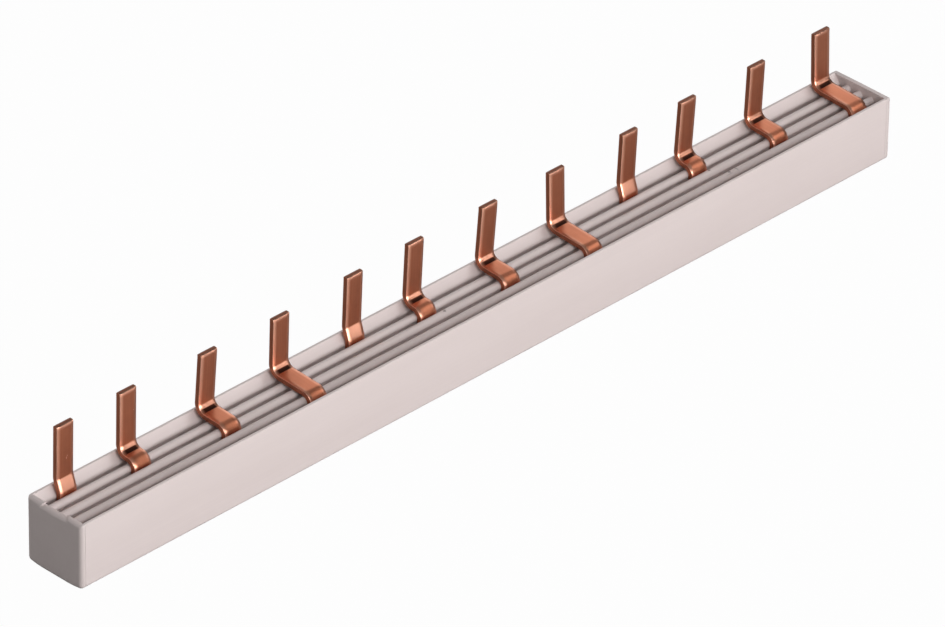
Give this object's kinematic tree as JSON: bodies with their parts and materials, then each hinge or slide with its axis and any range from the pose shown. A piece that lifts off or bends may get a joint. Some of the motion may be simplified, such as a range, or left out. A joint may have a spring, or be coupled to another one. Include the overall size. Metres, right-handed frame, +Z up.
{
  "type": "comb busbar",
  "caption": "Pin-type comb busbar: insulating trough with ribs, closed by end caps, holding flat copper combs whose folded prongs stand in one row along the rear wall.",
  "frame": {"origin": "centre of the base, where the flat strip meets the surface it stands on", "axes": "+X along the busbar to the right, +Y from the front wall to the rear wall, +Z up, the way the prongs point"},
  "size_m": [0.209, 0.014, 0.0265],
  "materials": {
    "trough_plastic": "smooth extruded light grey plastic with a warm tint",
    "cap_plastic": "smooth moulded light grey plastic",
    "copper": "bare bright copper strip with rolling lines and rounded stamped edges"
  },
  "bodies": {
    "root": {"insulating_profile": "trough_plastic", "end_cap_left": "cap_plastic", "end_cap_right": "cap_plastic", "copper_comb_1": "copper", "copper_comb_2": "copper", "copper_comb_3": "copper", "copper_comb_4": "copper"}
  },
  "joints": []
}
